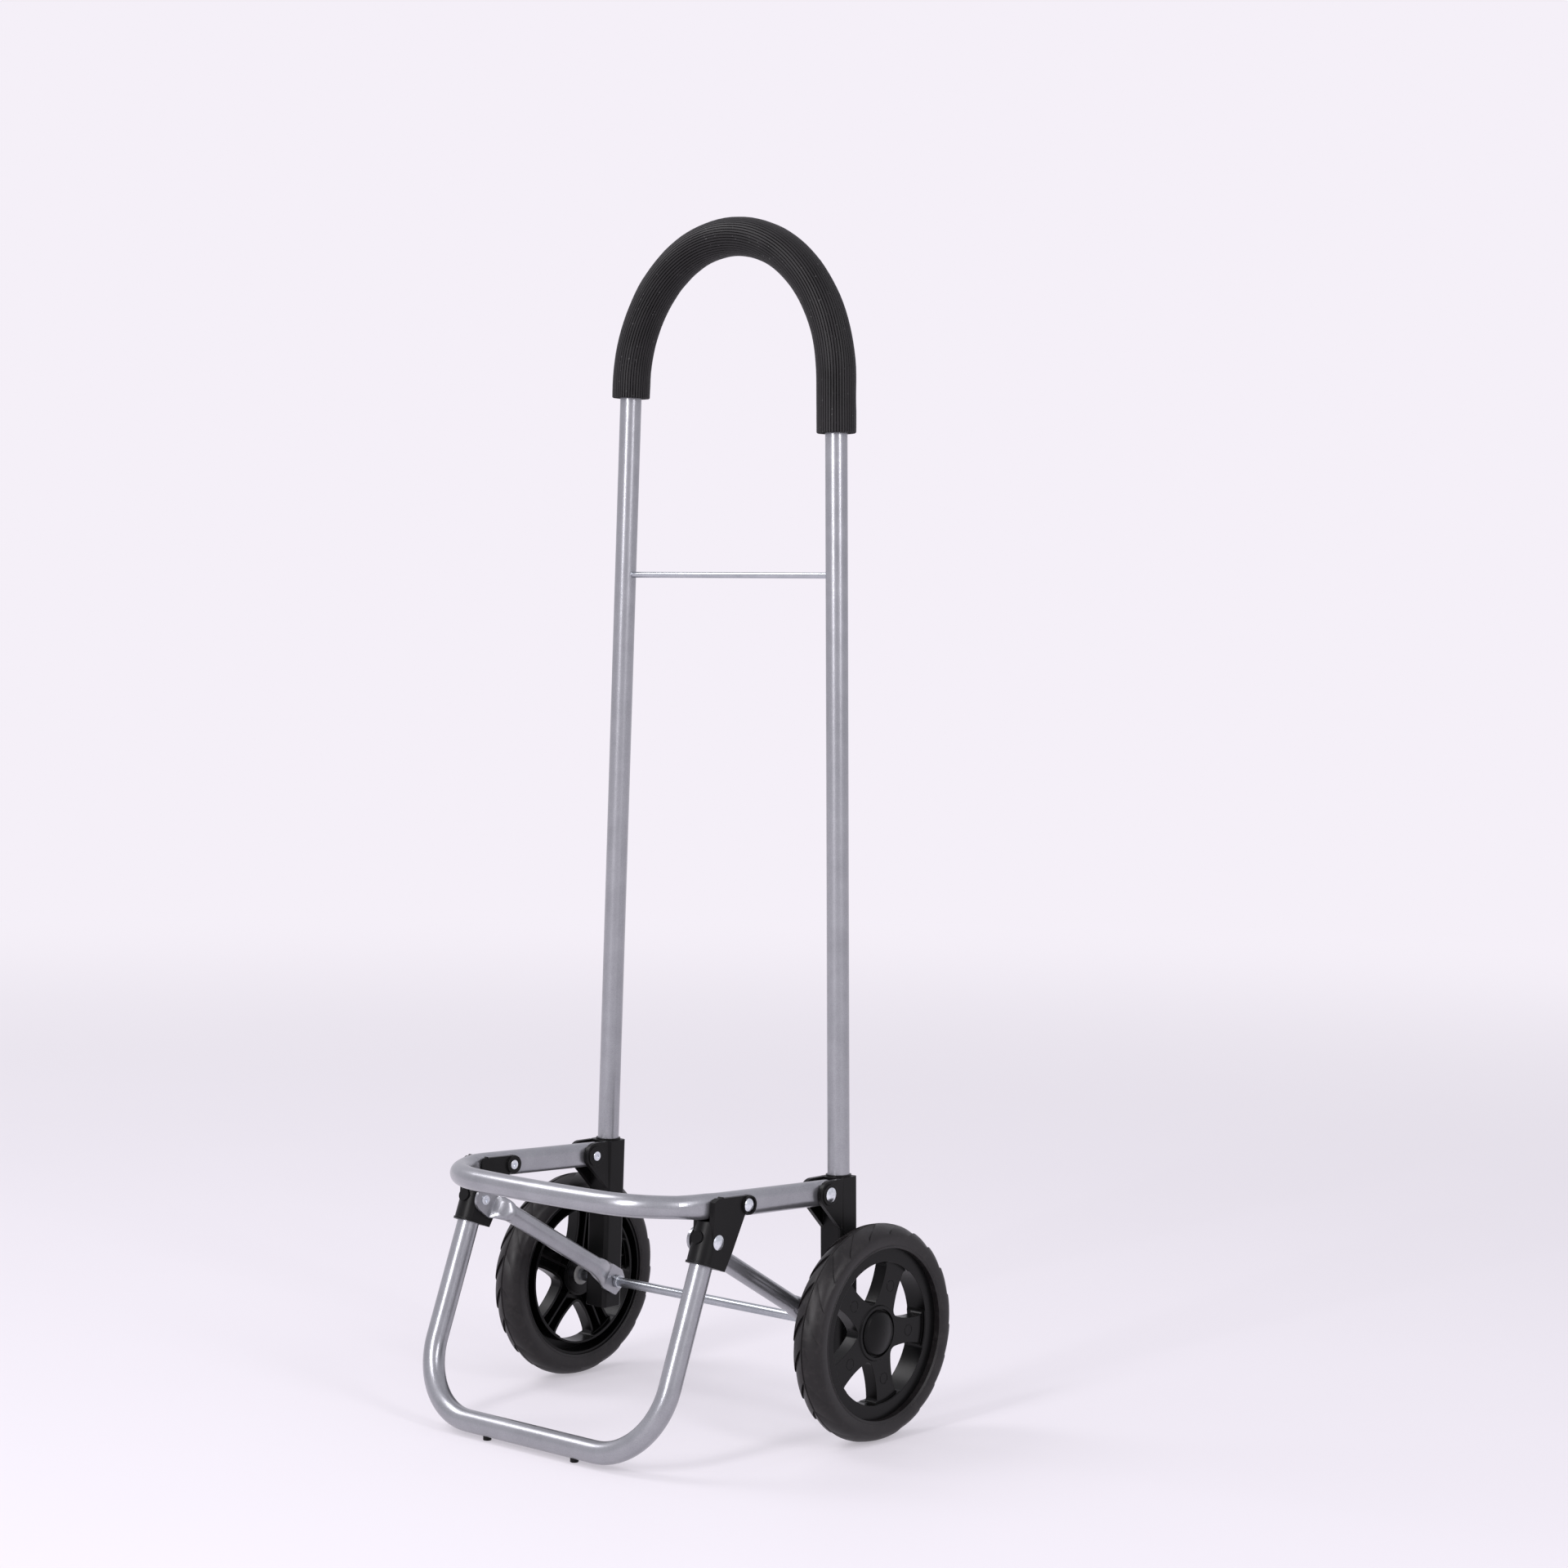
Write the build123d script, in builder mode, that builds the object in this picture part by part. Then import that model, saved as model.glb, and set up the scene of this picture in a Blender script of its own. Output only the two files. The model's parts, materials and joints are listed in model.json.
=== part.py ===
"""Folding hand truck on two plastic wheels, millimetres.

Z is up with the floor at z = 0, X runs along the axle and the load platform points to -Y.
The handle stands in one upright plane, the platform tube is hinged to it, and the leg under
the platform is held back by two braces that turn on the axle.
"""

import os
from math import asin, atan, cos, degrees, hypot, radians, sin, sqrt

from build123d import *

os.makedirs("parts", exist_ok=True)

# ---------------------------------------------------------------- driving dimensions
gap = 0.3  # side clearance between pieces that move past each other
running = 0.05  # extra bore radius where a piece turns on a pin
tube_r = 9.0  # frame tube, 18 mm outside
tube_wall = 1.2
wheel_r = 87.5

upright_foot_x = 135.3  # upright tube centre, measured at floor level
splay = 0.025  # the uprights lean inwards by this much per millimetre of height
upright_end_z = 100.0
arch_top_z = 970.5
arch_r = 126.0  # shoulder bends of the arch
grip_r = 16.1
grip_left_z = 841.5
grip_right_z = 806.5
rod_r = 2.5
rod_z = 692.8

arm_x = 131.35  # platform arms, hinge cheeks and front brackets
flat_w = 13.6  # platform arm where it is squeezed flat for the hinges
flat_h = 20.5
arm_end = 8.0  # arm runs on behind the rear hinge
platform_reach = 188.0  # rear hinge to the middle of the front bow
corner_r = 68.4
bow_r = 778.7
flat_turn = 14.0  # the squeezed shape runs this far round the corner
round_turn = 34.0  # the tube is round again from here

leg_x = 130.6
leg_lean = 20.18  # degrees from upright
leg_drop = 175.6  # brace hinge to the foot bar
leg_above = 10.0  # tube runs on above the brace hinge
foot_r = 59.4

cheek_t = 4.0
cheek_half = 11.4
body_half = 11.7
body_front = 11.0
body_back = 10.5
body_bottom_z = 65.0
cheek_r = 11.0

plate_in = 120.6  # front bracket side faces
plate_out = 142.2
sleeve_r = 12.0

pin_r = 2.5
head_r = 5.9
axle_r = 4.0
brace_in = 117.7  # the pressed brace ends
brace_out = 120.3
brace_tube_x = 110.9
brace_r = 7.5

wheel_x = 168.9
tyre_w = 28.4
tyre_bore = 69.2
spoke_face = 173.5
hub_start = 160.0

# ---------------------------------------------------------------- derived positions
foot_y = 155.9 + leg_drop * sin(radians(leg_lean))
axle_y = (foot_y + tube_r - wheel_r) / 2  # puts the footprint in the middle of the frame
axle_z = wheel_r
hinge_a = (axle_y - 24.6, 198.1)
hinge_b = (axle_y - 121.5, 201.8)
hinge_c = (axle_y - 155.9, 176.65)
axle_axis = Axis((0, axle_y, axle_z), (1, 0, 0))

lean = degrees(atan(splay))
rise = degrees(atan((hinge_b[1] - hinge_a[1]) / (hinge_a[0] - hinge_b[0])))
turn = radians(lean + 45)
share = (1 - sin(turn)) / cos(turn)
arch_start_z = arch_top_z + arch_r * (sin(radians(lean)) - 1)
arch_start_z += share * (arch_r * cos(radians(lean)) - upright_foot_x)
arch_start_z /= 1 - splay * share


def upright_x(z):
    """Distance of an upright's centre from the middle at a given height."""
    return upright_foot_x - splay * z


crown_r = arch_r - (arch_r * cos(radians(lean)) - upright_x(arch_start_z)) / cos(turn)

# corner and bow arcs of the platform meet smoothly
bow_half = degrees(asin((arm_x - corner_r) / (bow_r - corner_r)))
corner_v = platform_reach - bow_r + (bow_r - corner_r) * cos(radians(bow_half))

frame_plane = Plane(origin=(0, axle_y, 0), x_dir=(1, 0, 0), z_dir=(0, -1, 0))
platform_plane = Plane(
    origin=(0, hinge_a[0], hinge_a[1]),
    x_dir=(1, 0, 0),
    z_dir=(0, -sin(radians(rise)), -cos(radians(rise))),
)
leg_plane = Plane(
    origin=(0, hinge_c[0], hinge_c[1]),
    x_dir=(1, 0, 0),
    z_dir=(0, cos(radians(leg_lean)), -sin(radians(leg_lean))),
)
wheel_plane = Plane(origin=(0, axle_y, axle_z), x_dir=(1, 0, 0), z_dir=(0, -1, 0))


def socket_plane(z):
    """Plane square to the right upright at a given height."""
    return Plane(
        origin=(upright_x(z), axle_y, z),
        x_dir=(cos(radians(lean)), 0, sin(radians(lean))),
        z_dir=(-sin(radians(lean)), 0, cos(radians(lean))),
    )


def corner_section(angle):
    """Plane square to the platform tube, part way round its right corner."""
    a = radians(angle)
    across = arm_x - corner_r + corner_r * cos(a)
    ahead = corner_v + corner_r * sin(a)
    return Plane(
        origin=platform_plane.from_local_coords((across, ahead, 0)),
        x_dir=platform_plane.x_dir * cos(a) + platform_plane.y_dir * sin(a),
        z_dir=platform_plane.y_dir * cos(a) - platform_plane.x_dir * sin(a),
    )


def leg_section(t):
    """Plane square to the leg, t below the brace hinge, at the right leg tube."""
    return Plane(
        origin=leg_plane.from_local_coords((leg_x, t, 0)),
        x_dir=(1, 0, 0),
        z_dir=leg_plane.y_dir,
    )


def leg_side_plane(x):
    """Side view of the leg: local x points backwards, local y up the leg."""
    return Plane(
        origin=(x, hinge_c[0], hinge_c[1]),
        x_dir=leg_plane.z_dir,
        z_dir=(1, 0, 0),
    )


def wheel_face(x):
    """Plane across the right wheel."""
    return Plane(origin=(x, axle_y, axle_z), x_dir=(0, 1, 0), z_dir=(1, 0, 0))


def bar(place, radius, x_from, x_to, mode=Mode.ADD):
    """Round bar along X, place is its (y, z) centre."""
    with Locations(Location(((x_from + x_to) / 2, place[0], place[1]), (0, 90, 0))):
        Cylinder(radius, abs(x_to - x_from), mode=mode)


def round_section(plane, x, radius, side):
    """Circle drawn as four arcs, so it blends cleanly into a flattened tube."""
    with BuildSketch(plane) as section:
        with BuildLine():
            CenterArc((x, 0), radius, -side, 2 * side)
            CenterArc((x, 0), radius, side, 180 - 2 * side)
            CenterArc((x, 0), radius, 180 - side, 2 * side)
            CenterArc((x, 0), radius, 180 + side, 180 - 2 * side)
        make_face()
    return section.sketch


def dome_point(x_edge, radius, x_top):
    """Point half way out on a ball-shaped dome, as (x, radius)."""
    height = x_top - x_edge
    ball = (radius * radius + height * height) / (2 * height)
    return (x_top - ball + sqrt(ball * ball - radius * radius / 4), radius / 2)


def other_side(right):
    """The same piece for the left of the truck."""
    with BuildPart() as left:
        mirror(right.part, about=Plane.YZ)
    return left


def pair(right):
    """Both copies of a small fitting as separate solids of one node."""
    with BuildPart() as both:
        add(right.part)
        mirror(right.part, about=Plane.YZ)
    return both


def save(piece, name):
    piece.part.label = name
    export_step(piece.part, f"parts/{name}.step")


def save_sides(right, name):
    save(right, name + "_right")
    save(other_side(right), name + "_left")


# ---------------------------------------------------------------- handle
def arch_path(right_z, left_z):
    """Centre line from the right upright over the arch to the left upright."""
    foot = Line((upright_x(right_z), right_z), (upright_x(arch_start_z), arch_start_z))
    shoulder = JernArc(foot @ 1, foot % 1, arch_r, 45)
    crown = JernArc(shoulder @ 1, shoulder % 1, crown_r, 90 - 2 * lean)
    shoulder_left = JernArc(crown @ 1, crown % 1, arch_r, 45)
    Line(shoulder_left @ 1, (-upright_x(left_z), left_z))


with BuildPart() as handle_tube:
    with BuildLine(frame_plane):
        arch_path(upright_end_z, upright_end_z)
    with BuildSketch(socket_plane(upright_end_z)):
        Circle(tube_r)
        Circle(tube_r - tube_wall, mode=Mode.SUBTRACT)
    sweep()
    rod_reach = upright_x(rod_z)
    bar((axle_y, rod_z), rod_r, -rod_reach, rod_reach, Mode.SUBTRACT)
save(handle_tube, "handle_tube")

with BuildPart() as foam_grip:
    with BuildLine(frame_plane):
        arch_path(grip_right_z, grip_left_z)
    with BuildSketch(socket_plane(grip_right_z)):
        Circle(grip_r)
        Circle(tube_r, mode=Mode.SUBTRACT)
    sweep()
save(foam_grip, "foam_grip")

with BuildPart() as cross_rod:
    bar((axle_y, rod_z), rod_r, -rod_reach + 3, rod_reach - 3)
save(cross_rod, "cross_rod")

# ---------------------------------------------------------------- rear hinge brackets
cheek_top_z = hinge_a[1] + cheek_r
tangent_y = hinge_a[0] - cheek_r * sin(radians(45))
tangent_z = hinge_a[1] - cheek_r * sin(radians(45))
web_y = axle_y - body_front + 1.5

with BuildPart() as rear_bracket:
    with BuildSketch(socket_plane(body_bottom_z)):
        with Locations((0, (body_back - body_front) / 2)):
            RectangleRounded(2 * body_half, body_front + body_back, 3.5)
    extrude(amount=(cheek_top_z - body_bottom_z) / cos(radians(lean)))
    fillet(rear_bracket.faces().sort_by(Axis.Z)[0].edges(), 0.8)
    for cheek_x in (arm_x - cheek_half, arm_x + cheek_half - cheek_t):
        with BuildSketch(Plane.YZ.offset(cheek_x)):
            with BuildLine():
                top = Line((web_y, cheek_top_z), (hinge_a[0], cheek_top_z))
                nose = CenterArc(hinge_a, cheek_r, 90, 135)
                slope = Line((tangent_y, tangent_z), (web_y, tangent_z - (web_y - tangent_y)))
                Line(slope @ 1, top @ 0)
            make_face()
        extrude(amount=cheek_t)
    bar(hinge_a, 8.6, arm_x + cheek_half, arm_x + cheek_half + 0.8)
    bar(hinge_a, 8.6, arm_x - cheek_half - 0.8, arm_x - cheek_half)
    with BuildSketch(socket_plane(cheek_top_z)):
        Circle(10.4)
    extrude(amount=1.5)
    with BuildSketch(socket_plane(upright_end_z)):
        Circle(tube_r)
    extrude(amount=120, mode=Mode.SUBTRACT)
    bar(hinge_a, pin_r, 100, 160, Mode.SUBTRACT)
    bar((axle_y, axle_z), axle_r, 100, 160, Mode.SUBTRACT)
save_sides(rear_bracket, "rear_bracket")


# ---------------------------------------------------------------- rivets
def rivet_head(place, x, radius, height):
    """Low dome on the outboard side."""
    top = x + height
    plane = Plane(origin=(0, place[0], place[1]), x_dir=(1, 0, 0), z_dir=(0, -1, 0))
    with BuildSketch(plane) as profile:
        with BuildLine():
            Polyline((top, 0), (x, 0), (x, radius - 0.3), (x + 0.3, radius))
            ThreePointArc((x + 0.3, radius), dome_point(x + 0.3, radius, top), (top, 0))
        make_face()
    revolve(profile.sketch, axis=Axis((0, place[0], place[1]), (1, 0, 0)))


def rolled_end(place, x, radius, height):
    """Turned-over hollow end on the inboard side."""
    bar(place, radius, x - height, x)
    rim = edges().filter_by(GeomType.CIRCLE).group_by(Axis.X)[0]
    fillet(rim, 0.45)
    bar(place, 1.5, x - height - 1, x - height + 1.6, Mode.SUBTRACT)


rear_head_x = arm_x + cheek_half + 0.8
rear_tail_x = arm_x - cheek_half - 0.8
with BuildPart() as rear_pivot_rivet:
    rolled_end(hinge_a, rear_tail_x, 4.0, 0.7)
    bar(hinge_a, pin_r, rear_tail_x, rear_head_x + 0.5)
    rivet_head(hinge_a, rear_head_x, head_r, 1.9)
save(pair(rear_pivot_rivet), "rear_pivot_rivets")

with BuildPart() as front_pivot_rivet:
    rolled_end(hinge_b, plate_in, 4.0, 1.5)
    bar(hinge_b, pin_r, plate_in, plate_out + 0.5)
    rivet_head(hinge_b, plate_out, head_r, 2.3)
save(pair(front_pivot_rivet), "front_pivot_rivets")

with BuildPart() as brace_pivot_head:
    bar(hinge_c, pin_r, plate_in, plate_out + 0.5)
    rivet_head(hinge_c, plate_out, head_r, 2.0)
save(pair(brace_pivot_head), "brace_pivot_heads")

with BuildPart() as brace_rolled_end:
    rolled_end(hinge_c, brace_in, 4.0, 1.2)
    bar(hinge_c, pin_r, brace_in, brace_out)
save_sides(brace_rolled_end, "brace_rolled_end")


# ---------------------------------------------------------------- platform tube
def half_platform(inset, mode):
    """Right half of the platform as a solid run, smaller all round by the inset."""
    with BuildSketch(corner_section(0)) as flat:
        SlotOverall(flat_h - 2 * inset, flat_w - 2 * inset, rotation=90)
    extrude(flat.sketch, amount=-(corner_v + arm_end + inset), mode=mode)
    with BuildLine(platform_plane) as squeezed_bend:
        JernArc((arm_x, corner_v), (0, 1), corner_r, flat_turn)
    sweep(flat.sketch, path=squeezed_bend.line, mode=mode)
    with BuildSketch(corner_section(flat_turn)) as flat_end:
        SlotOverall(flat_h - 2 * inset, flat_w - 2 * inset, rotation=90)
    with BuildSketch(corner_section((flat_turn + round_turn) / 2)) as between:
        SlotOverall(flat_h / 2 + tube_r - 2 * inset, flat_w / 2 + tube_r - 2 * inset, rotation=90)
    round_start = round_section(corner_section(round_turn), 0, tube_r - inset, 22)
    loft([flat_end.sketch, between.sketch, round_start], mode=mode)
    a = radians(round_turn)
    start = (arm_x - corner_r + corner_r * cos(a), corner_v + corner_r * sin(a))
    with BuildLine(platform_plane) as front:
        rest = JernArc(start, (-sin(a), cos(a)), corner_r, 90 - bow_half - round_turn)
        JernArc(rest @ 1, rest % 1, bow_r, bow_half)
    with BuildSketch(corner_section(round_turn)) as round_tube:
        Circle(tube_r - inset)
    sweep(round_tube.sketch, path=front.line, mode=mode)


with BuildPart() as half_tube:
    half_platform(0, Mode.ADD)
    half_platform(tube_wall, Mode.SUBTRACT)
    for hinge in (hinge_a, hinge_b):
        bar(hinge, pin_r + running, 100, 160, Mode.SUBTRACT)

with BuildPart() as platform_tube:
    add(half_tube.part)
    mirror(half_tube.part, about=Plane.YZ)
save(platform_tube, "platform_tube")

# ---------------------------------------------------------------- front brackets
slot_half = flat_w / 2 + gap + 0.05
slot_floor = flat_h / 2 + gap + 0.05
sleeve_bottom = 19.85


def beside(y, z):
    """Side view point given behind the axle."""
    return (axle_y + y, z)


with BuildPart() as front_bracket:
    # side plates with the web between them
    with BuildSketch(Plane.YZ.offset(plate_in)):
        with BuildLine():
            Polyline(
                beside(-121.5, 209.3),
                beside(-155.5, 210.5),
                beside(-160.4, 208.0),
                beside(-160.9, 197.0),
                beside(-162.75, 158.0),
                beside(-148.4, 152.75),
                beside(-140.2, 166.3),
                beside(-125.3, 195.1),
                close=True,
            )
        make_face()
        with Locations(hinge_b):
            Circle(7.8)
    extrude(amount=plate_out - plate_in)
    bar(beside(-151.5, 210.2), 1.3, plate_in, plate_out)
    # sleeve for the leg, its bottom lip and the round pad on its front
    for outer_r, height in ((sleeve_r, 46), (sleeve_r + 0.7, 1.8)):
        with BuildSketch(leg_section(sleeve_bottom)):
            Circle(outer_r)
            with Locations(((plate_in + plate_out) / 2 - leg_x, 0)):
                Rectangle(plate_out - plate_in, 40, mode=Mode.INTERSECT)
        extrude(amount=-height)
    with BuildSketch(leg_plane):
        with Locations((leg_x, 0)):
            Circle(5.2)
    extrude(amount=-sleeve_r - 1.5)
    # raised rings round the front hinge rivet
    bar(hinge_b, 7.5, plate_out - 1, plate_out + 1.7)
    bar(hinge_b, 6.3, plate_out, plate_out + 2, Mode.SUBTRACT)
    bar(hinge_b, 7.5, plate_in - 1.4, plate_in + 1)
    bar(hinge_b, 4.6, plate_in - 2, plate_in, Mode.SUBTRACT)
    # slot for the platform arm, following it into the corner
    with BuildLine(platform_plane):
        arm = Line((arm_x, 40), (arm_x, corner_v))
        JernArc(arm @ 1, arm % 1, corner_r, 17.5)
    with BuildSketch(corner_section(0).offset(40 - corner_v)):
        with Locations((0, -slot_floor)):
            Rectangle(2 * slot_half, slot_floor + 30, align=(Align.CENTER, Align.MIN))
    sweep(mode=Mode.SUBTRACT)
    # wider slot where the tube rounds out
    with BuildLine(platform_plane) as rounding:
        lead = JernArc((arm_x, corner_v), (0, 1), corner_r, 13, mode=Mode.PRIVATE)
        JernArc(lead @ 1, lead % 1, corner_r, 13)
    with BuildSketch(corner_section(13)) as wide_slot:
        with Locations((0, -slot_floor)):
            Rectangle(2 * slot_half + 2.4, slot_floor + 30, align=(Align.CENTER, Align.MIN))
    sweep(wide_slot.sketch, path=rounding.line, mode=Mode.SUBTRACT)
    # room for the arm when it lies along the leg
    hinge_gap = (hinge_b[0] - hinge_c[0]) * cos(radians(leg_lean))
    hinge_gap -= (hinge_b[1] - hinge_c[1]) * sin(radians(leg_lean))
    with BuildSketch(leg_side_plane(arm_x - slot_half)):
        with Locations((hinge_gap - slot_floor, 0)):
            Rectangle(60, 120, align=(Align.MIN, Align.CENTER))
    extrude(amount=2 * slot_half, mode=Mode.SUBTRACT)
    # shoulder under the round part of the platform tube
    with BuildSketch(Plane(
        origin=(160, hinge_a[0], hinge_a[1]), x_dir=platform_plane.y_dir, z_dir=(-1, 0, 0)
    )):
        with BuildLine():
            Polyline(
                (136.6, -slot_floor),
                (156, -tube_r - 2 * gap),
                (185, -tube_r - 2 * gap),
                (185, 30),
                (136.6, 30),
                close=True,
            )
        make_face()
    extrude(amount=60, mode=Mode.SUBTRACT)
    # bore for the leg and the two rivet holes
    with BuildSketch(leg_section(sleeve_bottom + 1)):
        Circle(tube_r)
    extrude(amount=-(sleeve_bottom + 1 + leg_above), mode=Mode.SUBTRACT)
    bar(hinge_b, pin_r, 100, 160, Mode.SUBTRACT)
    bar(hinge_c, pin_r, 100, 160, Mode.SUBTRACT)
save_sides(front_bracket, "front_bracket")

# ---------------------------------------------------------------- leg and its glides
foot_z = hinge_c[1] - leg_drop * cos(radians(leg_lean))
glide_x = 49.0
glide_stem_r = 2.4
foot_place = (axle_y - foot_y, foot_z)

with BuildPart() as leg_tube:
    with BuildLine(leg_plane):
        shank = Line((leg_x, -leg_above), (leg_x, leg_drop - foot_r))
        bend = JernArc(shank @ 1, shank % 1, foot_r, 90)
        foot = Line(bend @ 1, (foot_r - leg_x, leg_drop))
        bend_left = JernArc(foot @ 1, foot % 1, foot_r, 90)
        Line(bend_left @ 1, (-leg_x, -leg_above))
    with BuildSketch(leg_section(-leg_above)):
        Circle(tube_r)
        Circle(tube_r - tube_wall, mode=Mode.SUBTRACT)
    sweep()
    bar(hinge_c, pin_r, -160, 160, Mode.SUBTRACT)
    with Locations((glide_x, foot_place[0], 0), (-glide_x, foot_place[0], 0)):
        Cylinder(glide_stem_r, foot_z, align=(Align.CENTER, Align.CENTER, Align.MIN), mode=Mode.SUBTRACT)
save(leg_tube, "leg_tube")

with BuildPart() as foot_glide:
    with Locations((glide_x, foot_place[0], 0)):
        Cylinder(3.4, foot_z - 3, align=(Align.CENTER, Align.CENTER, Align.MIN))
    bar(foot_place, tube_r, 30, 70, Mode.SUBTRACT)
    with Locations((glide_x, foot_place[0], 1)):
        Cylinder(glide_stem_r, 4.5, align=(Align.CENTER, Align.CENTER, Align.MIN))
    fillet(foot_glide.faces().sort_by(Axis.Z)[0].edges(), 0.5)
save(pair(foot_glide), "foot_glides")

# ---------------------------------------------------------------- braces
brace_len = hypot(axle_y - hinge_c[0], axle_z - hinge_c[1])
brace_way = ((axle_y - hinge_c[0]) / brace_len, (axle_z - hinge_c[1]) / brace_len)
brace_mid = (brace_in + brace_out) / 2
pressed_t = brace_out - brace_in


def brace_side_plane(x):
    """Side view of the brace, local x runs from the leg down to the axle."""
    return Plane(
        origin=(x, hinge_c[0], hinge_c[1]),
        x_dir=(0, brace_way[0], brace_way[1]),
        z_dir=(1, 0, 0),
    )


def brace_section(s):
    """Plane square to the brace, s along it."""
    return Plane(
        origin=brace_side_plane(0).from_local_coords((s, 0, 0)),
        x_dir=(1, 0, 0),
        z_dir=(0, brace_way[0], brace_way[1]),
    )


def press_out(s_flat, s_mid, s_round):
    """Squeezed end opening out into the round tube."""
    with BuildSketch(brace_section(s_flat)) as flat:
        with Locations((brace_mid, 0)):
            SlotOverall(22.4, pressed_t, rotation=90)
    with BuildSketch(brace_section(s_mid)) as between:
        with Locations(((brace_mid + brace_tube_x) / 2 - 0.8, 0)):
            SlotOverall(19.4, 9.6, rotation=90)
    round_start = round_section(brace_section(s_round), brace_tube_x, brace_r, 60)
    loft([flat.sketch, between.sketch, round_start])


with BuildPart() as brace:
    with BuildSketch(brace_side_plane(brace_in)):
        Circle(9.8)
        with Locations((11.3, 0)):
            Rectangle(0.6, 22.4)
        make_hull()
    extrude(amount=pressed_t)
    with BuildSketch(brace_side_plane(brace_in)):
        with BuildLine():
            Polyline(
                (brace_len - 12.3, 11.2),
                (brace_len + 1.5, 11.2),
                (brace_len + 7.3, 6.8),
                (brace_len + 8.8, -1.0),
                (brace_len + 5.0, -10.9),
                (brace_len - 12.3, -11.2),
                close=True,
            )
        make_face()
        fillet(vertices().sort_by(Axis.X)[-4:], 2.2)
    extrude(amount=pressed_t)
    press_out(11.5, 15.5, 25)
    press_out(brace_len - 12, brace_len - 24, brace_len - 40)
    with BuildSketch(brace_section(25)):
        with Locations((brace_tube_x, 0)):
            Circle(brace_r)
    extrude(amount=brace_len - 65)
    with BuildSketch(brace_section(26)):
        with Locations((brace_tube_x, 0)):
            Circle(brace_r - tube_wall)
    extrude(amount=brace_len - 67, mode=Mode.SUBTRACT)
    bar(hinge_c, pin_r, 100, 140, Mode.SUBTRACT)
    bar((axle_y, axle_z), axle_r + running, 100, 140, Mode.SUBTRACT)
save_sides(brace, "brace")

# ---------------------------------------------------------------- axle and its fittings
axle_end = 172.3
collar_mid = 115.4
collar_half = 2.0
split_pin_r = 0.8
split_pin_way = (0, -cos(radians(40)), sin(radians(40)))


def split_pin(x, mode=Mode.ADD):
    """Pin across the axle."""
    plane = Plane(origin=(x, axle_y, axle_z), x_dir=(1, 0, 0), z_dir=split_pin_way)
    with BuildSketch(plane) as end:
        Circle(split_pin_r)
    extrude(end.sketch, amount=7.6, both=True, mode=mode)


with BuildPart() as axle:
    bar((axle_y, axle_z), axle_r, -axle_end, axle_end)
    chamfer(axle.edges().filter_by(GeomType.CIRCLE), 0.5)
    for x in (-collar_mid, collar_mid):
        split_pin(x, Mode.SUBTRACT)
save(axle, "axle")

with BuildPart() as brace_retainer:
    bar((axle_y, axle_z), 5.4, collar_mid - collar_half, collar_mid + collar_half)
    chamfer(brace_retainer.edges().filter_by(GeomType.CIRCLE), 0.6)
    bar((axle_y, axle_z), axle_r, 110, 120, Mode.SUBTRACT)
    split_pin(collar_mid, Mode.SUBTRACT)
save(pair(brace_retainer), "brace_retainers")

with BuildPart() as axle_split_pin:
    split_pin(collar_mid)
save(pair(axle_split_pin), "axle_split_pins")

with BuildPart() as axle_spacer:
    bar((axle_y, axle_z), 5.3, 145.05, hub_start - gap)
    bar((axle_y, axle_z), 5.3, 148.6, 149.3, Mode.SUBTRACT)
    bar((axle_y, axle_z), 4.8, 148.6, 149.3)
    bar((axle_y, axle_z), axle_r, 140, 165, Mode.SUBTRACT)
save(pair(axle_spacer), "axle_spacers")

with BuildPart() as axle_end_nut:
    bar((axle_y, axle_z), 7.0, 169.3, 173.2)
    fillet(axle_end_nut.edges().filter_by(GeomType.CIRCLE).group_by(Axis.X)[-1], 1.5)
    bar((axle_y, axle_z), axle_r, 168, axle_end, Mode.SUBTRACT)
save(pair(axle_end_nut), "axle_end_nuts")


# ---------------------------------------------------------------- wheels
def turned(points):
    """Round piece turned about the axle, points are (x, radius)."""
    with BuildSketch(wheel_plane) as profile:
        with BuildLine():
            Polyline(*points, close=True)
        make_face()
    revolve(profile.sketch, axis=axle_axis)


with BuildPart() as tyre:
    side = tyre_w / 2
    shoulder_z = 78.0
    soft = 1 - cos(radians(30))
    shoulder_r = (wheel_r - shoulder_z - soft * tyre_w) / (sin(radians(60)) - soft)
    crown_tyre_r = tyre_w - shoulder_r
    with BuildSketch(wheel_plane):
        with BuildLine():
            base = Line((wheel_x, tyre_bore), (wheel_x + side - 1.6, tyre_bore))
            wall = Line(base @ 1, (wheel_x + side, 74.6))
            edge = Line(wall @ 1, (wheel_x + side, shoulder_z))
            shoulder = JernArc(edge @ 1, (0, 1), shoulder_r, 60)
            crown = JernArc(shoulder @ 1, shoulder % 1, crown_tyre_r, 30)
            Line(crown @ 1, base @ 0)
        make_face()
        mirror(about=Plane.YZ.offset(wheel_x))
    revolve(axis=axle_axis)
save_sides(tyre, "tyre")

with BuildSketch() as spoke_opening:
    with BuildLine():
        reach = radians(24)
        corner = (57.7 * cos(reach), 57.7 * sin(reach))
        ThreePointArc((22.5, 0), (36.1, 13.7), corner)
        CenterArc((0, 0), 57.7, 24, -48)
        ThreePointArc((corner[0], -corner[1]), (36.1, -13.7), (22.5, 0))
    make_face()
    fillet(vertices().sort_by(Axis.X)[:1], 6)
    fillet(vertices().sort_by(Axis.X)[-2:], 4)

with BuildSketch() as opening_wall:
    add(spoke_opening.sketch)
    offset(amount=2.2)


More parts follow.
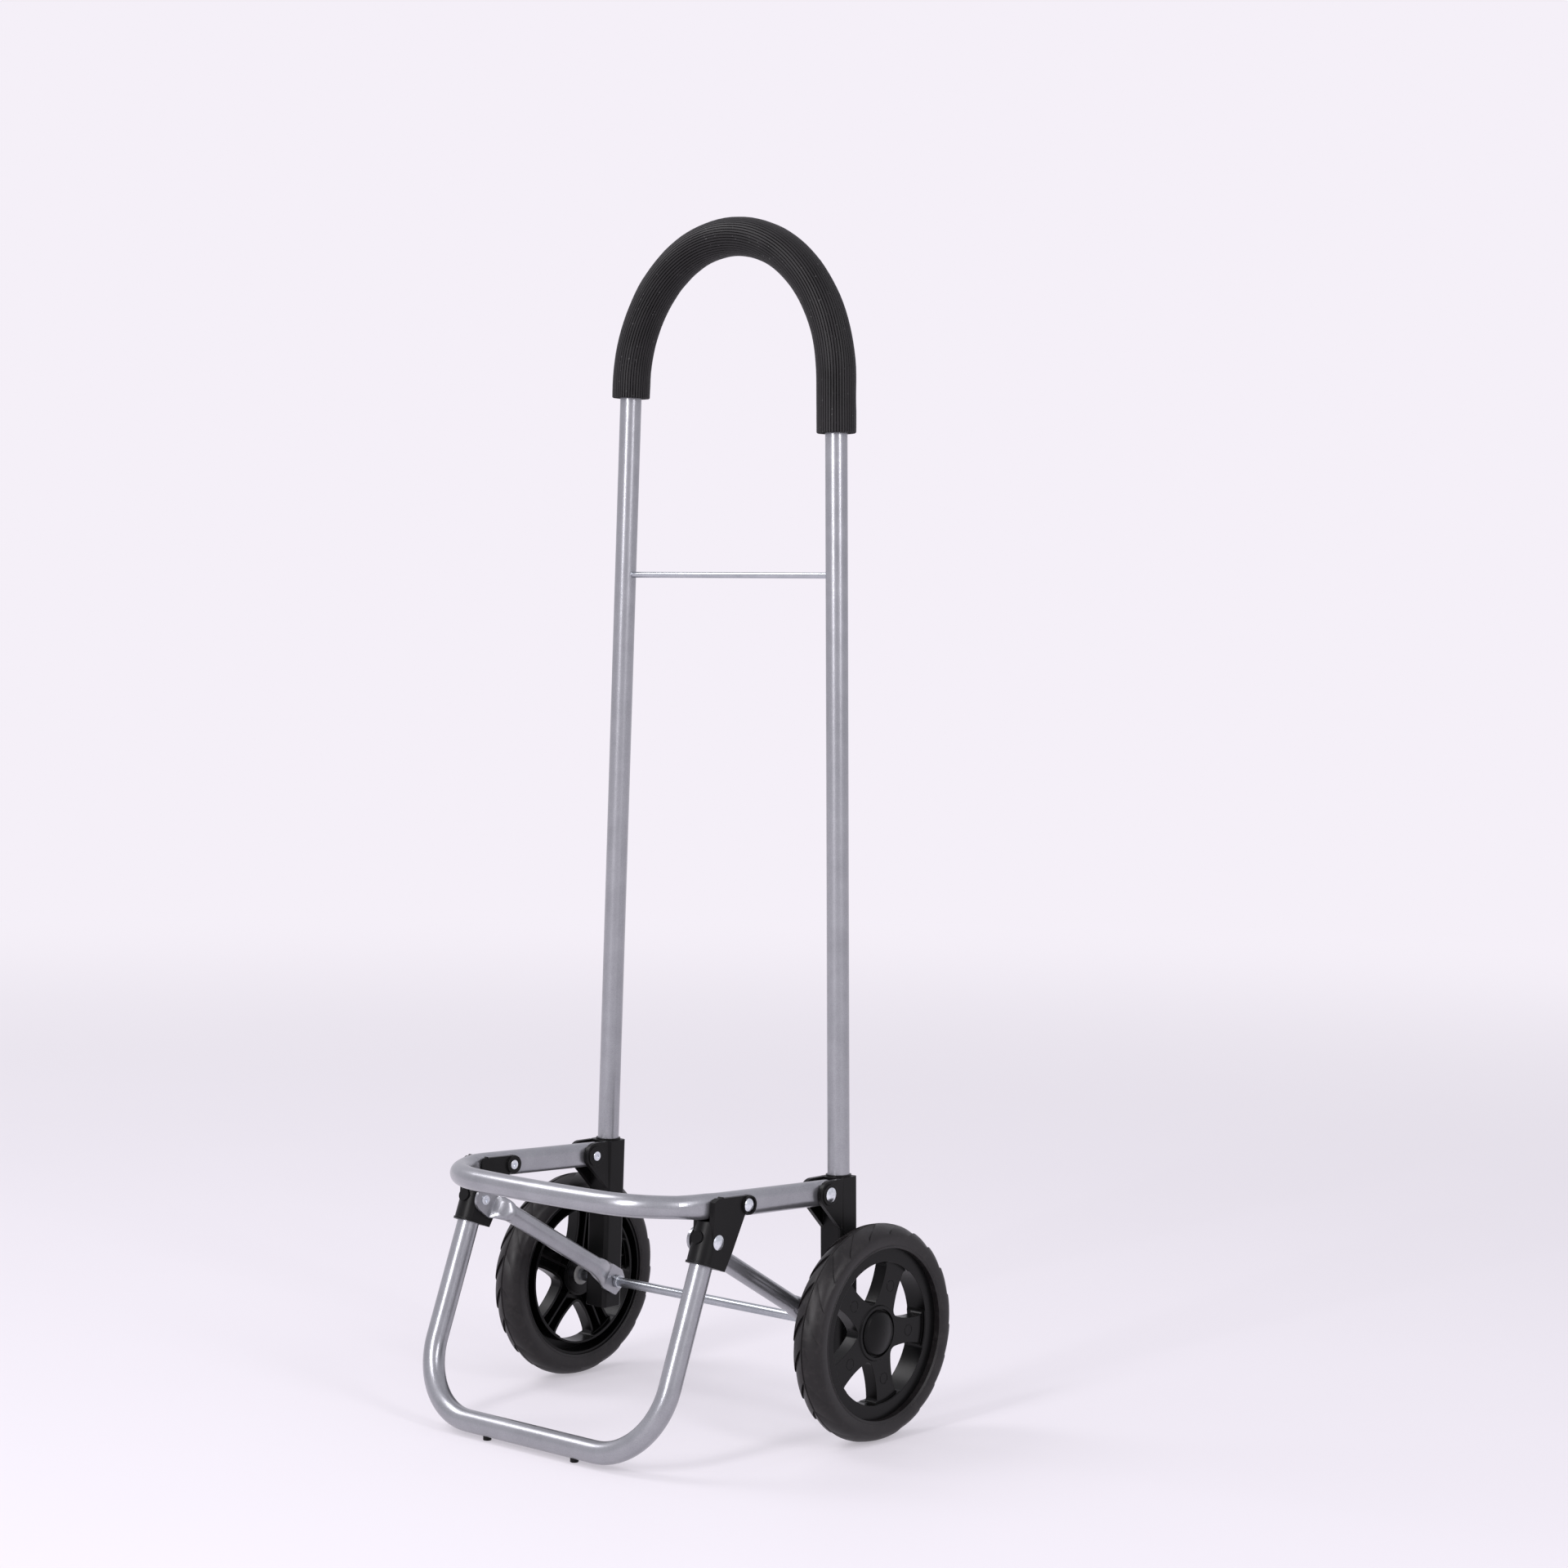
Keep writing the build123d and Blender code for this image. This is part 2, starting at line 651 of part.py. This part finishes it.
# moulded wheel with five hollow-backed spokes, the first one pointing straight back
with BuildPart() as wheel_rim:
    turned([
        (160.6, 9.0), (160.6, 16.0), (162.0, 16.4), (162.0, 57.0), (157.5, 57.0),
        (157.5, 59.4), (174.0, 59.4), (174.0, 66.8), (157.5, 66.8), (157.5, tyre_bore),
        (176.5, tyre_bore), (176.5, 57.8), (175.9, 57.0), (spoke_face, 57.0),
        (spoke_face, 22.6), (174.6, 21.8), (174.6, 19.6), (172.6, 19.6), (172.6, 18.3),
        (173.8, 18.3), (173.8, 11.0), (169.0, 11.0), (169.0, 7.0), (161.0, 7.0),
        (161.0, 9.0),
    ])
    with BuildSketch(wheel_face(150)):
        with PolarLocations(0, 5, start_angle=36):
            add(spoke_opening.sketch)
    extrude(amount=40, mode=Mode.SUBTRACT)
    with BuildSketch(wheel_face(161)):
        Circle(56.6)
        Circle(18.6, mode=Mode.SUBTRACT)
        with PolarLocations(0, 5, start_angle=36):
            add(opening_wall.sketch, mode=Mode.SUBTRACT)
        with PolarLocations(38, 5):
            Rectangle(50, 1.8, mode=Mode.SUBTRACT)
    extrude(amount=spoke_face - 2.4 - 161, mode=Mode.SUBTRACT)
    with BuildSketch(wheel_face(spoke_face)):
        with PolarLocations(39, 5):
            Circle(4.7)
            Circle(4.2, mode=Mode.SUBTRACT)
    extrude(amount=-0.25, mode=Mode.SUBTRACT)

with BuildPart() as wheel_rim_right:
    add(wheel_rim.part.rotate(axle_axis, 67))
save(wheel_rim_right, "wheel_rim_right")

with BuildPart() as wheel_rim_left:
    add(wheel_rim.part.rotate(axle_axis, 82).mirror(Plane.YZ))
save(wheel_rim_left, "wheel_rim_left")

with BuildPart() as hub_bush:
    turned([
        (hub_start, axle_r + running), (169.0, axle_r + running), (169.0, 7.0),
        (161.0, 7.0), (161.0, 9.0), (hub_start, 9.0),
    ])
save_sides(hub_bush, "hub_bush")

with BuildPart() as hub_cap:
    with BuildSketch(wheel_plane):
        with BuildLine():
            Polyline(
                (179.9, 0), (176.5, 0), (176.5, 8.0), (175.6, 9.4), (170.4, 9.4),
                (170.4, 11.0), (173.8, 11.0), (173.8, 17.6), (174.4, 18.0), (176.2, 16.6),
            )
            ThreePointArc((176.2, 16.6), dome_point(176.2, 16.6, 179.9), (179.9, 0))
        make_face()
    revolve(axis=axle_axis)
save_sides(hub_cap, "hub_cap")
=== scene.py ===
"""Looks of the folding hand truck, in metres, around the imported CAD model.

The metal and plastic parts keep their CAD shapes and get their finishes here. The ribbed foam
grip and the two treaded tyres are modelled here and stand for their plain CAD solids.
"""

import json
from math import atan, atan2, cos, hypot, pi, radians, sin

import bpy
from mathutils import Matrix, Vector


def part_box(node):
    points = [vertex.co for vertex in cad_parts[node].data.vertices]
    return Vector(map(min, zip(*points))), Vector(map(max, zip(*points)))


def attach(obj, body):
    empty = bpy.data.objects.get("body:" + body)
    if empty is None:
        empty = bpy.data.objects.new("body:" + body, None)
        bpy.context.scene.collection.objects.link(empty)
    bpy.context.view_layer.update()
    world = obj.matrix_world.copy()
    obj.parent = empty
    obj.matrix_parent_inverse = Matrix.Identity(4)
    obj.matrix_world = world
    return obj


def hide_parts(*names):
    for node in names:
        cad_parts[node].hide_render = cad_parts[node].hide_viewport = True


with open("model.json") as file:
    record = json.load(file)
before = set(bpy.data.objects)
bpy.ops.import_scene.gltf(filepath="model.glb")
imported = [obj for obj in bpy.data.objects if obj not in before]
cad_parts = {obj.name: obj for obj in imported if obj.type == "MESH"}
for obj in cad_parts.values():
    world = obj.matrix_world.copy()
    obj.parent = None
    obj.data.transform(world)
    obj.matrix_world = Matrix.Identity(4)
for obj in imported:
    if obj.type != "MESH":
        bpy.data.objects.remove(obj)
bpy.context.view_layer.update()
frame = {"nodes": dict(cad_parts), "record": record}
mm = 0.001

# ---------------------------------------------------------------- sizes taken from the frame
tube_low, tube_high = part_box("handle_tube")
axle_low, axle_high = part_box("axle")
tube_r = 9 * mm
frame_y = (tube_low.y + tube_high.y) / 2
axle_y = (axle_low.y + axle_high.y) / 2
axle_z = (axle_low.z + axle_high.z) / 2
arch_top_z = tube_high.z - tube_r
weld = 0.01 * mm  # points closer than this become one

# ---------------------------------------------------------------- grip sizes
splay = 0.025  # the uprights lean inwards by this much per metre of height
upright_foot_x = 135.3 * mm
arch_r = 126 * mm
grip_r = 16.1 * mm
grip_left_z = 841.5 * mm
grip_right_z = 806.5 * mm
foam_wall = 7.0 * mm
rib_count = 44
rib_depth = 0.8 * mm
rib_points = 6
foam_step = 6 * mm
rim_round = 0.8 * mm
swell_size = 28 * mm  # slow unevenness of the foam
swell_height = 0.9 * mm
swell_middle = 0.62
foam_crease = radians(40)

# ---------------------------------------------------------------- tyre sizes
tyre_bore = 69.2 * mm
sidewall_r = 74.6 * mm
shoulder_start = 78.0 * mm
sidewall = (  # inset from the tyre's side face, and radius
    (1.6 * mm, tyre_bore),
    (0.5 * mm, tyre_bore + 1.6 * mm),
    (0.9 * mm, tyre_bore + 2.3 * mm),
    (0.1 * mm, sidewall_r),
)
shoulder_turn = radians(60)
crown_turn_half = radians(30)
crown_stop = radians(27.5)
curve_steps = 8
centre_groove = 0.9 * mm
tyre_crease = radians(32)
pitches = 20
rows_per_pitch = 16
groove_sweep = radians(17)
groove_depth = 1.7 * mm
groove_curve = 1.35
groove_start = 0.06  # shares of the half width, from the middle outwards
groove_deepening = 0.22
groove_fade = 0.86
lip_lead = 0.8  # the row before each groove moves this far towards it, in rows
tyre_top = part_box("tyre_right")[1].z - axle_z


# ---------------------------------------------------------------- shader building
class Signal:
    """One value in a material's node tree; sums on it add Math nodes."""

    def __init__(self, finish, socket):
        self.finish = finish
        self.socket = socket

    def maths(self, operation, first, second):
        return self.finish.node("ShaderNodeMath", {"operation": operation}, {0: first, 1: second})

    def __add__(self, other):
        return self.maths("ADD", self, other)

    def __radd__(self, other):
        return self.maths("ADD", other, self)

    def __mul__(self, other):
        return self.maths("MULTIPLY", self, other)


class Finish:
    """A surface finish: one material and the nodes that make it."""

    def __init__(self, name):
        self.material = bpy.data.materials.new(name)
        self.material.use_nodes = True
        self.tree = self.material.node_tree
        self.tree.nodes.clear()
        self.place = self.node("ShaderNodeTexCoord", output="Object")

    def node(self, kind, settings=None, inputs=None, output=0):
        made = self.tree.nodes.new(kind)
        for key, value in (settings or {}).items():
            if key == "stops":
                for stop, (position, level) in zip(made.color_ramp.elements, value):
                    stop.position = position
                    stop.color = (level, level, level, 1)
            else:
                setattr(made, key, value)
        for key, value in (inputs or {}).items():
            if isinstance(value, Signal):
                self.tree.links.new(value.socket, made.inputs[key])
            else:
                made.inputs[key].default_value = value
        return Signal(self, made.outputs[output]) if len(made.outputs) else None

    def stretched(self, scale):
        """Object coordinates with a scale of their own along each axis."""
        return self.node("ShaderNodeMapping", {}, {"Vector": self.place, "Scale": scale})

    def noise(self, scale, detail=2.0, rough=0.5, place=None):
        inputs = {"Vector": place or self.place, "Scale": scale}
        inputs.update({"Detail": detail, "Roughness": rough})
        return self.node("ShaderNodeTexNoise", {}, inputs)

    def cells(self, scale):
        """A random grey for each small cell, as in metal flake or foam."""
        return self.node(
            "ShaderNodeTexVoronoi", {}, {"Vector": self.place, "Scale": scale}, output="Color"
        )

    def ramp(self, factor, low, high):
        """0 below low, 1 above high."""
        return self.node(
            "ShaderNodeValToRGB", {"stops": ((low, 0.0), (high, 1.0))}, {"Fac": factor}
        )

    def blend(self, factor, first, second):
        return self.node(
            "ShaderNodeMix", {"data_type": "RGBA"}, {0: factor, 6: first, 7: second}, output=2
        )

    def bump(self, height, distance, strength=1.0, under=None):
        inputs = {"Height": height, "Distance": distance, "Strength": strength}
        if under:
            inputs["Normal"] = under
        return self.node("ShaderNodeBump", {}, inputs)

    def soft_edges(self, radius):
        """Normals rounded over at sharp moulded edges."""
        return self.node("ShaderNodeBevel", {"samples": 6}, {"Radius": radius})

    def surface(self, inputs):
        shader = self.node("ShaderNodeBsdfPrincipled", {}, inputs)
        self.node("ShaderNodeOutputMaterial", {}, {"Surface": shader})
        return self.material


def grey(level, red=1.0, blue=1.0):
    return (level * red, level, level * blue, 1.0)


# ---------------------------------------------------------------- finishes
def silver_paint():
    """Silver-grey metallic paint with fine flake and a few dull scuffs."""
    f = Finish("silver_paint")
    flake = f.cells(2600)
    mottle = f.noise(55, 3)
    scuffs = f.ramp(f.noise(90, 4, 0.7, f.stretched((1, 1, 0.12))), 0.66, 0.72)
    level = f.ramp(flake * 0.45 + mottle * 0.55, 0.2, 0.8)
    paint = f.blend(level, grey(0.28, 0.985, 1.07), grey(0.40, 0.99, 1.06))
    paint = f.blend(scuffs * 0.35, paint, grey(0.25, 1.0, 1.02))
    peel = f.noise(420, 2)
    return f.surface({
        "Base Color": paint,
        "Metallic": 0.82,
        "Roughness": 0.27 + mottle * 0.03 + flake * 0.03 + scuffs * 0.12,
        "Coat Weight": 0.25,
        "Coat Roughness": 0.12,
        "Normal": f.bump(peel + flake * 0.15, 0.02 * mm, 0.4),
    })


def moulded_plastic(name, tone, rough, edge):
    """Black moulded plastic with a fine grain and slightly rubbed edges."""
    f = Finish(name)
    grain = f.noise(2200, 2)
    cloud = f.noise(38, 3)
    scratches = f.ramp(f.noise(120, 5, 0.75, f.stretched((1, 0.2, 0.2))), 0.68, 0.74)
    colour = f.blend(f.ramp(cloud, 0.3, 0.7), grey(tone * 0.8), grey(tone * 1.35, 1.04, 1.06))
    colour = f.blend(scratches * 0.4, colour, grey(tone * 4))
    return f.surface({
        "Base Color": colour,
        "Roughness": rough + cloud * 0.12 + scratches * 0.12,
        "Specular IOR Level": 0.18,
        "Normal": f.bump(grain, 0.03 * mm, 0.6, f.soft_edges(edge)),
    })


def tyre_rubber():
    """Black-brown foam rubber, a little dusty on the tread."""
    f = Finish("tyre_rubber")
    grain = f.noise(1500, 3, 0.6)
    cloud = f.noise(30, 3)
    dust = f.ramp(f.noise(140, 5, 0.65), 0.5, 0.72)
    colour = f.blend(f.ramp(cloud, 0.3, 0.7), grey(0.0055, 1.18, 1.06), grey(0.0095, 1.2, 1.08))
    colour = f.blend(dust * 0.35, colour, grey(0.035, 1.12, 0.98))
    return f.surface({
        "Base Color": colour,
        "Roughness": 0.36 + cloud * 0.12 + dust * 0.14,
        "Specular IOR Level": 0.34,
        "Normal": f.bump(grain + dust * 0.4, 0.06 * mm, 0.6),
    })


def grip_foam():
    """Matt black closed-cell foam with lint and cells that show close up."""
    f = Finish("grip_foam")
    pores = f.cells(1700)
    cloud = f.noise(45, 4)
    lint = f.ramp(f.noise(520, 1, 0.4), 0.735, 0.76)
    colour = f.blend(f.ramp(cloud, 0.3, 0.7), grey(0.0035, 1.16, 1.14), grey(0.0075, 1.16, 1.14))
    colour = f.blend(lint * 0.6, colour, grey(0.10))
    return f.surface({
        "Base Color": colour,
        "Roughness": 0.46 + cloud * 0.14 + pores * 0.08,
        "Specular IOR Level": 0.34,
        "Normal": f.bump(pores * 0.6 + cloud, 0.05 * mm, 0.6),
    })


def zinc(name, along, rough, level):
    """Bluish zinc plating with rubbed streaks; along is the scale on each axis."""
    f = Finish(name)
    streak = f.noise(300, 4, 0.7, f.stretched(along))
    bloom = f.noise(85, 3)
    tone = f.ramp(streak * 0.7 + bloom * 0.3, 0.3, 0.7)
    colour = f.blend(tone, grey(level * 0.62, 0.94, 1.08), grey(level, 0.97, 1.05))
    return f.surface({
        "Base Color": colour,
        "Metallic": 1.0,
        "Roughness": rough + streak * 0.16,
        "Normal": f.bump(streak, 0.03 * mm, 0.5),
    })


def bearing_plastic():
    f = Finish("bearing_plastic")
    cloud = f.noise(200, 3)
    colour = f.blend(cloud, grey(0.24, 1.0, 0.96), grey(0.34, 1.0, 0.96))
    return f.surface({
        "Base Color": colour,
        "Roughness": 0.45 + cloud * 0.1,
        "Normal": f.bump(f.noise(1800), 0.03 * mm, 0.5),
    })


finishes = {
    "frame_paint": silver_paint(),
    "grip_foam": grip_foam(),
    "bracket_plastic": moulded_plastic("bracket_plastic", 0.0034, 0.33, 0.5 * mm),
    "wheel_plastic": moulded_plastic("wheel_plastic", 0.0020, 0.25, 0.6 * mm),
    "bush_plastic": bearing_plastic(),
    "tyre_rubber": tyre_rubber(),
    "axle_zinc": zinc("axle_zinc", (0.03, 1, 1), 0.20, 0.60),
    "rivet_zinc": zinc("rivet_zinc", (1, 1, 1), 0.16, 0.92),
}


def dress(piece, slot):
    """Gives a piece the finish of one of the record's material slots."""
    if not piece.data.materials:
        piece.data.materials.append(None)
    for place in piece.material_slots:
        place.material = finishes[slot]


for part in frame["record"]["subparts"]:
    dress(frame["nodes"][part["node"]], part["material_slot"])


# ---------------------------------------------------------------- modelling helpers
def start_shape(name, add_shape, **where):
    """Adds a primitive by itself, named, with nothing else selected."""
    bpy.ops.object.select_all(action="DESELECT")
    add_shape(**where)
    piece = bpy.context.object
    piece.name = name
    piece.data.name = name
    bpy.ops.object.transform_apply(location=True, rotation=True, scale=True)
    return piece


def finish_piece(piece, body, slot, smooth_angle):
    bpy.ops.object.select_all(action="DESELECT")
    piece.select_set(True)
    bpy.context.view_layer.objects.active = piece
    bpy.ops.object.shade_smooth_by_angle(angle=smooth_angle)
    dress(piece, slot)
    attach(piece, body)


# ---------------------------------------------------------------- foam grip
lean = atan(splay)
turn = lean + pi / 4
share = (1 - sin(turn)) / cos(turn)
arch_start_z = arch_top_z + arch_r * (sin(lean) - 1)
arch_start_z += share * (arch_r * cos(lean) - upright_foot_x)
arch_start_z /= 1 - splay * share


def upright_x(z):
    return upright_foot_x - splay * z


arch_in = arch_r * cos(lean) - upright_x(arch_start_z)  # shoulder centre's distance past the middle
crown_r = arch_r - arch_in / cos(turn)
shoulder_z = arch_start_z - arch_r * sin(lean)
crown_z = arch_top_z - crown_r
crown_turn = pi / 2 - 2 * lean


def pull(way, steps):
    """Draws the open ring on along way, in equal steps."""
    for _ in range(steps):
        bpy.ops.mesh.extrude_region_move(TRANSFORM_OT_translate={"value": way / steps})


def ring_centre(z, side):
    return Vector((side * upright_x(z), frame_y, z))


def foam_sleeve():
    up = Vector((-sin(lean), 0, cos(lean)))
    down = Vector((-sin(lean), 0, -cos(lean)))
    piece = start_shape(
        "ribbed_grip",
        bpy.ops.mesh.primitive_circle_add,
        vertices=rib_count * rib_points,
        radius=grip_r,
        location=ring_centre(grip_right_z, 1),
        rotation=(0, -lean, 0),
    )
    for number, point in enumerate(piece.data.vertices):
        point.select = number % rib_points == 0
    for line in piece.data.edges:
        line.select = False
    bpy.ops.object.mode_set(mode="EDIT")
    groove = (grip_r - rib_depth) / grip_r
    bpy.ops.transform.resize(value=(groove,) * 3, center_override=ring_centre(grip_right_z, 1))
    bpy.ops.mesh.select_all(action="SELECT")
    pinched = (grip_r - rim_round) / grip_r
    bpy.ops.transform.resize(value=(pinched,) * 3, center_override=ring_centre(grip_right_z, 1))
    pull(up * rim_round, 1)
    first = ring_centre(grip_right_z, 1) + up * rim_round
    bpy.ops.transform.resize(value=(1 / pinched,) * 3, center_override=first)
    rise = (arch_start_z - grip_right_z) / cos(lean) - rim_round
    pull(up * rise, max(1, round(rise / foam_step)))
    bends = (
        (pi / 4, arch_r, (-arch_in, frame_y, shoulder_z)),
        (crown_turn, crown_r, (0, frame_y, crown_z)),
        (pi / 4, arch_r, (arch_in, frame_y, shoulder_z)),
    )
    for angle, radius, centre in bends:
        steps = round(angle * radius / foam_step)
        bpy.ops.mesh.spin(steps=steps, angle=angle, center=centre, axis=(0, 1, 0))
    fall = (arch_start_z - grip_left_z) / cos(lean) - rim_round
    pull(down * fall, max(1, round(fall / foam_step)))
    pull(down * rim_round, 1)
    last = ring_centre(grip_left_z, -1)
    bpy.ops.transform.resize(value=(pinched,) * 3, center_override=last)
    bpy.ops.mesh.select_all(action="SELECT")
    bpy.ops.mesh.remove_doubles(threshold=weld)
    bpy.ops.mesh.normals_make_consistent(inside=False)
    bpy.ops.object.mode_set(mode="OBJECT")
    return piece


def add_modifier(piece, kind, **settings):
    bpy.context.view_layer.objects.active = piece
    made = piece.modifiers.new(kind.lower(), kind)
    for key, value in settings.items():
        setattr(made, key, value)
    bpy.ops.object.modifier_apply(modifier=made.name)


grip = foam_sleeve()
unevenness = bpy.data.textures.new("foam_unevenness", "CLOUDS")
unevenness.noise_scale = swell_size
unevenness.noise_depth = 2
add_modifier(
    grip, "DISPLACE", texture=unevenness, strength=swell_height, mid_level=swell_middle
)
add_modifier(grip, "SOLIDIFY", thickness=foam_wall, offset=-1.0, use_even_offset=False)
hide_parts("foam_grip")
finish_piece(grip, "handle_frame", "grip_foam", foam_crease)


# ---------------------------------------------------------------- tyres
def tyre_outline(half, crown_top):
    """Section of the tyre as (across, radius) points, all the way round."""
    soft = 1 - cos(crown_turn_half)
    height = crown_top - shoulder_start
    shoulder_bend = (height - soft * 2 * half) / (sin(shoulder_turn) - soft)
    crown_bend = 2 * half - shoulder_bend
    side = [(half - inset, radius) for inset, radius in sidewall]
    centre = half - shoulder_bend
    for step in range(curve_steps + 1):
        a = shoulder_turn * step / curve_steps
        side.append((centre + shoulder_bend * cos(a), shoulder_start + shoulder_bend * sin(a)))
    for step in range(1, curve_steps + 1):
        a = shoulder_turn + crown_stop * step / curve_steps
        side.append((crown_bend * cos(a), crown_top - crown_bend * (1 - sin(a))))
    side.append((centre_groove * 0.4, crown_top - centre_groove))
    other = [(-across, radius) for across, radius in reversed(side)]
    inner = [(across * half, tyre_bore) for across in (-0.5, 0, 0.5)]
    return side + other + inner


def tread(piece, middle, half):
    """Cuts the swept grooves: each pitch rises from one groove to the lip of the next."""
    pitch = 2 * pi / pitches
    row = pitch / rows_per_pitch
    for point in piece.data.vertices:
        across = point.co.x - middle
        y, z = point.co.y - axle_y, point.co.z - axle_z
        radius, angle = hypot(y, z), atan2(z, y)
        out = min(abs(across) / half, 1.0)
        height = (radius - sidewall_r) / (tyre_top - sidewall_r)
        if height <= 0:
            continue
        number = round(angle / row) % rows_per_pitch
        along = number / rows_per_pitch
        started = max(0.0, min(1.0, (out - groove_start) / groove_deepening))
        depth = groove_depth * started * min(1.0, height * 1.6)
        depth *= max(0.0, 1 - max(0.0, out - groove_fade) / (1 - groove_fade))
        drop = depth * (1 - along) ** 2
        if number == rows_per_pitch - 1:
            angle += row * lip_lead
        angle += groove_sweep * out ** groove_curve * min(1.0, height * 2)
        radius -= drop
        point.co.y = axle_y + radius * cos(angle)
        point.co.z = axle_z + radius * sin(angle)


def treaded_tyre(side):
    low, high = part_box("tyre_" + side)
    middle, half = (low.x + high.x) / 2, (high.x - low.x) / 2
    outline = tyre_outline(half, tyre_top)
    piece = start_shape(
        "treaded_tyre_" + side,
        bpy.ops.mesh.primitive_circle_add,
        vertices=len(outline),
        radius=half,
        location=(middle, axle_y, axle_z),
    )
    for point, (across, radius) in zip(piece.data.vertices, outline):
        point.co = (middle + across, axle_y + radius, axle_z)
    bpy.ops.object.mode_set(mode="EDIT")
    bpy.ops.mesh.select_all(action="SELECT")
    bpy.ops.mesh.spin(
        steps=pitches * rows_per_pitch,
        angle=2 * pi,
        center=(middle, axle_y, axle_z),
        axis=(1, 0, 0),
    )
    bpy.ops.mesh.select_all(action="SELECT")
    bpy.ops.mesh.remove_doubles(threshold=weld)
    bpy.ops.mesh.normals_make_consistent(inside=False)
    bpy.ops.object.mode_set(mode="OBJECT")
    tread(piece, middle, half)
    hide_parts("tyre_" + side)
    finish_piece(piece, side + "_wheel", "tyre_rubber", tyre_crease)


for side in ("right", "left"):
    treaded_tyre(side)

# ---------------------------------------------------------------- floor
floor_r = 14.0
plain_floor_r = 0.9  # the floor's own colour up to here, the backdrop's from backdrop_r on
backdrop_r = 4.5
floor_glow = 0.42  # share of backdrop colour near the truck, which softens the shadows
backdrop = (0.913, 0.871, 0.939, 1.0)


def studio_floor():
    """Pale floor that runs out into the backdrop's colour."""
    f = Finish("studio_floor")
    spread = f.node("ShaderNodeVectorMath", {"operation": "LENGTH"}, {0: f.place}, output=1)
    away = f.node(
        "ShaderNodeMapRange",
        {"interpolation_type": "SMOOTHSTEP"},
        {
            "Value": spread,
            "From Min": plain_floor_r,
            "From Max": backdrop_r,
            "To Min": floor_glow,
        },
    )
    cloud = f.noise(1.7, 3)
    colour = f.blend(cloud, (0.715, 0.69, 0.73, 1), (0.745, 0.72, 0.76, 1))
    near = f.node(
        "ShaderNodeBsdfPrincipled",
        {},
        {"Base Color": colour, "Roughness": 0.55, "Specular IOR Level": 0.1},
    )
    far = f.node("ShaderNodeEmission", {}, {"Color": backdrop, "Strength": 1.0})
    both = f.node("ShaderNodeMixShader", {}, {0: away, 1: near, 2: far})
    f.node("ShaderNodeOutputMaterial", {}, {"Surface": both})
    return f.material


floor = start_shape(
    "floor", bpy.ops.mesh.primitive_circle_add, vertices=96, radius=floor_r, fill_type="NGON"
)
bpy.ops.object.mode_set(mode="EDIT")
bpy.ops.mesh.select_all(action="SELECT")
bpy.ops.mesh.inset(thickness=floor_r * 0.6)
bpy.ops.object.mode_set(mode="OBJECT")
floor.data.materials.append(studio_floor())

# ---------------------------------------------------------------- light
room_light = (0.94, 0.92, 1.0, 1)
room_strength = 0.74
lamp_white = (1.0, 0.98, 1.0)
lamp_target = Vector((0, 0, 0.45))
world = bpy.data.worlds.new("studio")
bpy.context.scene.world = world
world.use_nodes = True
sky = world.node_tree
sky.nodes.clear()
seen = sky.nodes.new("ShaderNodeBackground")
seen.inputs["Color"].default_value = backdrop
shed = sky.nodes.new("ShaderNodeBackground")
shed.inputs["Color"].default_value = room_light
shed.inputs["Strength"].default_value = room_strength
ray = sky.nodes.new("ShaderNodeLightPath")
choice = sky.nodes.new("ShaderNodeMixShader")
out = sky.nodes.new("ShaderNodeOutputWorld")
sky.links.new(ray.outputs["Is Camera Ray"], choice.inputs[0])
sky.links.new(shed.outputs[0], choice.inputs[1])
sky.links.new(seen.outputs[0], choice.inputs[2])
sky.links.new(choice.outputs[0], out.inputs["Surface"])

# ---------------------------------------------------------------- camera
look_azimuth = radians(41.37)
look_down = radians(2.867)
camera_roll = radians(0.875)
camera_place = Vector((1.857973, -1.966944, 0.658788))
lens_length = 76.455
film_width = 36

ahead = Vector((
    -sin(look_azimuth) * cos(look_down),
    cos(look_azimuth) * cos(look_down),
    -sin(look_down),
))
level_right = Vector((cos(look_azimuth), sin(look_azimuth), 0))
level_up = level_right.cross(ahead)
right = level_right * cos(camera_roll) + level_up * sin(camera_roll)
up = level_up * cos(camera_roll) - level_right * sin(camera_roll)
bpy.ops.object.camera_add()
camera = bpy.context.object
camera.name = "camera"
camera.data.lens = lens_length
camera.data.sensor_width = film_width
camera_turn = Matrix((right, up, -ahead)).transposed().to_4x4()
camera.matrix_world = Matrix.Translation(camera_place) @ camera_turn
bpy.context.scene.camera = camera


def softbox(name, azimuth, distance, height, size, power):
    """Upright softbox round the truck, azimuth as for the camera, aimed at the frame."""
    a = radians(azimuth)
    place = Vector((sin(a) * distance, -cos(a) * distance, height))
    bpy.ops.object.light_add(type="AREA", location=place)
    lamp = bpy.context.object
    lamp.name = name
    lamp.data.shape = "RECTANGLE"
    lamp.data.size, lamp.data.size_y = size
    lamp.data.energy = power
    lamp.data.color = lamp_white
    aim = lamp_target - place
    lamp.rotation_euler = aim.to_track_quat("-Z", "Y").to_euler()


softbox("key", azimuth=6.0, distance=2.3, height=1.55, size=(0.40, 1.5), power=36)
softbox("side", azimuth=80.0, distance=2.4, height=1.6, size=(0.4, 1.5), power=21)
softbox("overhead", azimuth=-66.0, distance=1.9, height=2.5, size=(1.0, 1.4), power=27)

scene = bpy.context.scene
scene.view_settings.view_transform = "Standard"
scene.view_settings.look = "None"
